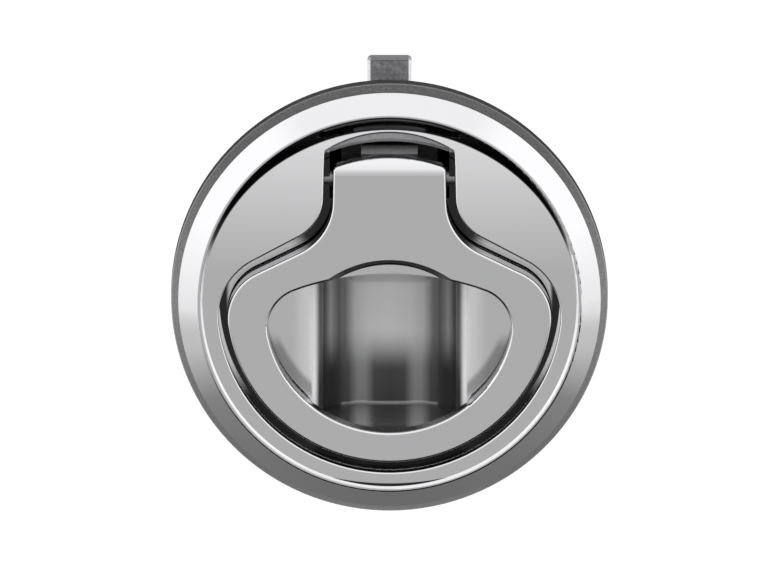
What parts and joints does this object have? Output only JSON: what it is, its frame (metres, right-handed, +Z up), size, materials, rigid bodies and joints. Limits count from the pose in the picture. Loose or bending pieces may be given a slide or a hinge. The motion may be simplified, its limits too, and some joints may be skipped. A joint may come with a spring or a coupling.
{
  "type": "flush pull latch",
  "caption": "Round flush pull latch for a cabinet or locker door: hinged ring handle in a bell-shaped pocket draws a slanted spring bolt into a threaded barrel.",
  "frame": {"origin": "on the barrel's axis, where the gasket meets the outer face of the door", "axes": "+Y along the barrel into the cabinet, +Z up towards the bolt's tongue, -Y towards the person pulling"},
  "size_m": [0.0636, 0.0367, 0.0636],
  "materials": {
    "chrome": "polished chrome plate over cast zinc",
    "handle_chrome": "polished chrome plate",
    "steel": "plain stainless",
    "spring_steel": "drawn stainless wire",
    "cast_zinc": "dull nickel over cast zinc",
    "screw_steel": "bright zinc plate",
    "gasket_rubber": "matt moulded rubber",
    "guide_plastic": "moulded nylon",
    "cover_plastic": "moulded nylon, fine grain"
  },
  "bodies": {
    "housing": {"latch_body": "chrome", "hinge_pin": "steel", "pin_grub_screw": "steel", "handle_spring_left": "spring_steel", "handle_spring_right": "spring_steel", "bolt_guide": "guide_plastic", "bolt_spring": "spring_steel", "spring_post": "steel", "flange_gasket": "gasket_rubber", "nut_washer": "steel", "ring_nut": "cast_zinc", "rear_cover": "cover_plastic", "cover_seal": "gasket_rubber", "handle_bumper_left": "gasket_rubber", "handle_bumper_right": "gasket_rubber", "guide_screw_left": "screw_steel", "guide_screw_right": "screw_steel", "cover_screw_1": "screw_steel", "cover_screw_2": "screw_steel", "cover_screw_3": "screw_steel", "cover_screw_4": "screw_steel"},
    "handle": {"pull_handle": "handle_chrome"},
    "bolt": {"latch_bolt": "cast_zinc"}
  },
  "joints": [
    {"name": "handle_hinge", "type": "hinge", "parent": "housing", "child": "handle", "pos_m": [0, -0.0006, 0.0172], "axis": [-1, 0, 0], "range_deg": [0, 30], "stiffness_Nm_per_rad": 0.35, "springref_deg": -22.92, "deforming": ["handle_spring_left", "handle_spring_right"]},
    {"name": "bolt_slide", "type": "slide", "parent": "housing", "child": "bolt", "axis": [0, 0, -1], "range_m": [0, 0.0072], "deforming": ["bolt_spring"]}
  ],
  "couplings": [
    {"joint": "bolt_slide", "follows": "handle_hinge", "m_per_rad": 0.013738}
  ]
}
